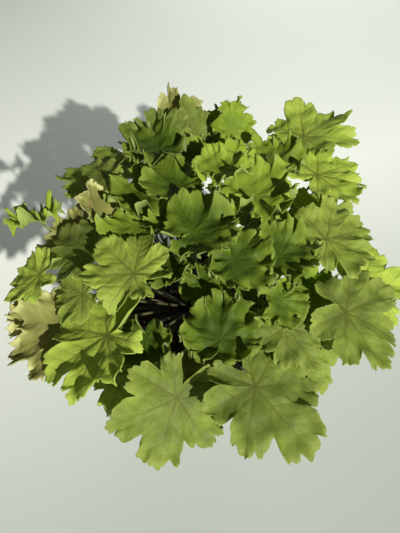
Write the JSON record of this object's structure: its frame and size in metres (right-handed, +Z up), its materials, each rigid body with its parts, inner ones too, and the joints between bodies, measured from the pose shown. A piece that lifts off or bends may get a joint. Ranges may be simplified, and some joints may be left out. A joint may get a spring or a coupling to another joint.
{
  "type": "heuchera plant",
  "caption": "Potted heuchera: a low mound of lobed, frilled lime-green leaves on thin stalks from a woody crown, in a plain dark nursery pot of soil.",
  "frame": {"origin": "centre of the pot's flat underside, on the surface that it stands on", "axes": "+Z up, -Y towards the front of the plant, +X to its right seen from the front"},
  "size_m": [0.3618, 0.337, 0.3034],
  "materials": {
    "pot_plastic": "matte moulded plastic, dusty with soil",
    "potting_soil": "rough moist peat with crumbs and fibres",
    "crown_and_stalks": "hairy olive-green to brown stalks on a scaly brown crown",
    "broad_leaf": "thin, softly hairy, lime green with paler veins, lets light through",
    "frilled_leaf": "thin, frilled, fresh green with a bright edge, lets light through",
    "old_leaf": "dull olive tan with a curled pale yellow margin"
  },
  "bodies": {
    "root": {"pot": "pot_plastic", "soil": "potting_soil", "crown": "crown_and_stalks", "leaf_01": "broad_leaf", "leaf_02": "broad_leaf", "leaf_03": "broad_leaf", "leaf_04": "broad_leaf", "leaf_05": "broad_leaf", "leaf_06": "broad_leaf", "leaf_07": "broad_leaf", "leaf_08": "broad_leaf", "leaf_09": "broad_leaf", "leaf_10": "old_leaf", "leaf_11": "broad_leaf", "leaf_12": "frilled_leaf", "leaf_13": "broad_leaf", "leaf_14": "frilled_leaf", "leaf_15": "frilled_leaf", "leaf_16": "frilled_leaf", "leaf_17": "frilled_leaf", "leaf_18": "frilled_leaf", "leaf_19": "broad_leaf", "leaf_20": "frilled_leaf", "leaf_21": "frilled_leaf", "leaf_22": "broad_leaf", "leaf_23": "broad_leaf", "leaf_24": "frilled_leaf", "leaf_25": "frilled_leaf", "leaf_26": "frilled_leaf", "leaf_27": "old_leaf", "leaf_28": "broad_leaf", "leaf_29": "broad_leaf", "leaf_30": "old_leaf", "leaf_31": "broad_leaf", "leaf_32": "broad_leaf", "leaf_33": "frilled_leaf", "leaf_34": "broad_leaf", "leaf_35": "frilled_leaf", "leaf_36": "frilled_leaf", "leaf_37": "broad_leaf", "leaf_38": "frilled_leaf", "leaf_39": "frilled_leaf", "leaf_40": "frilled_leaf", "leaf_41": "frilled_leaf", "leaf_42": "frilled_leaf", "leaf_43": "frilled_leaf", "leaf_44": "broad_leaf", "leaf_45": "frilled_leaf", "leaf_46": "old_leaf", "leaf_47": "old_leaf", "leaf_48": "old_leaf", "leaf_49": "old_leaf", "leaf_50": "broad_leaf", "leaf_51": "frilled_leaf", "leaf_52": "broad_leaf", "leaf_53": "broad_leaf", "leaf_54": "broad_leaf", "leaf_55": "frilled_leaf", "leaf_56": "broad_leaf", "leaf_57": "old_leaf"}
  },
  "joints": []
}
